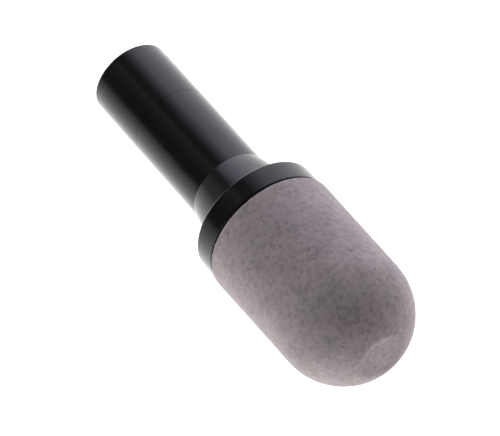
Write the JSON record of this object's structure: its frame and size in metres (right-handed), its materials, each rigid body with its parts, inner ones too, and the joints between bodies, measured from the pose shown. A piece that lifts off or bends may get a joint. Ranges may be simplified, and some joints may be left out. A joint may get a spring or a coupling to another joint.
{
  "type": "pneumatic muffler",
  "caption": "Plug-in exhaust silencer: a smooth round stem for a push-in tube fitting, a flare and flange, and a domed porous cap that lets the air out quietly.",
  "frame": {"origin": "centre of the open end face of the stem", "axes": "+Z along the common axis, from the stem's open end to the tip of the dome"},
  "size_m": [0.0134, 0.0134, 0.0424],
  "materials": {
    "stem_plastic": "glossy black moulded plastic",
    "sintered_plastic": "matt grey sintered plastic, slightly warm, with a fine grain"
  },
  "bodies": {
    "root": {"stem_body": "stem_plastic", "porous_cap": "sintered_plastic"}
  },
  "joints": []
}
